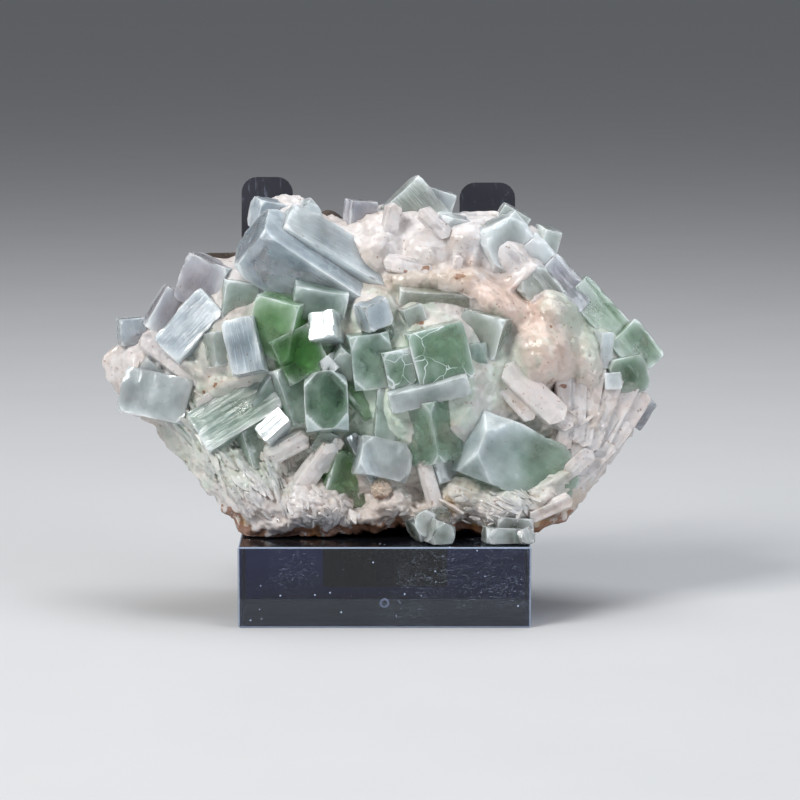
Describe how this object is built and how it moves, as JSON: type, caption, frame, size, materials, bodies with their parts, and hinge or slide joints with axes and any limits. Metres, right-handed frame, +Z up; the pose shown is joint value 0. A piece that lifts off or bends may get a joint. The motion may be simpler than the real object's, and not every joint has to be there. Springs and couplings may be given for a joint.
{
  "type": "apophyllite cluster",
  "caption": "Cluster of blocky pale-green apophyllite crystals on a peach stilbite crust over dark basalt, leaning on the two arms of a smoky acrylic display block.",
  "frame": {"origin": "centre of the stand block's underside, on the surface it stands on", "axes": "+Z up; +X to the right as seen from the front, along the block's width and the specimen's length; +Y to the back, where the fork is, so the crystals face -Y"},
  "size_m": [0.0978, 0.0469, 0.0753],
  "materials": {
    "apophyllite": "clear to frosted pale green and blue-white crystal, glassy faces with fine striations",
    "stilbite": "translucent peach-white zeolite, sugary to pearly",
    "basalt": "rough broken dark rock, brown-stained",
    "smoke_acrylic": "polished clear smoke-tinted acrylic, lightly scratched",
    "black_acrylic": "black sheet, scuffed with worn paler edges",
    "blackened_steel": "blackened pan-head screw"
  },
  "bodies": {
    "root": {"apophyllite_bottom_left": "apophyllite", "apophyllite_bottom_right": "apophyllite", "apophyllite_centre_cluster": "apophyllite", "apophyllite_great_block": "apophyllite", "apophyllite_ledge": "apophyllite", "apophyllite_left_corner": "apophyllite", "apophyllite_left_edge": "apophyllite", "apophyllite_left_prisms": "apophyllite", "apophyllite_lilac_block": "apophyllite", "apophyllite_long_prism": "apophyllite", "apophyllite_lower_left": "apophyllite", "apophyllite_right_chip": "apophyllite", "apophyllite_right_edge": "apophyllite", "apophyllite_right_prism": "apophyllite", "apophyllite_tip_crystal": "apophyllite", "apophyllite_top_blade": "apophyllite", "apophyllite_top_ledge": "apophyllite", "apophyllite_top_prism": "apophyllite", "apophyllite_top_right": "apophyllite", "basalt_matrix": "basalt", "stand_block": "smoke_acrylic", "stand_fork": "black_acrylic", "stand_screw": "blackened_steel", "stilbite_crust": "stilbite"}
  },
  "joints": []
}
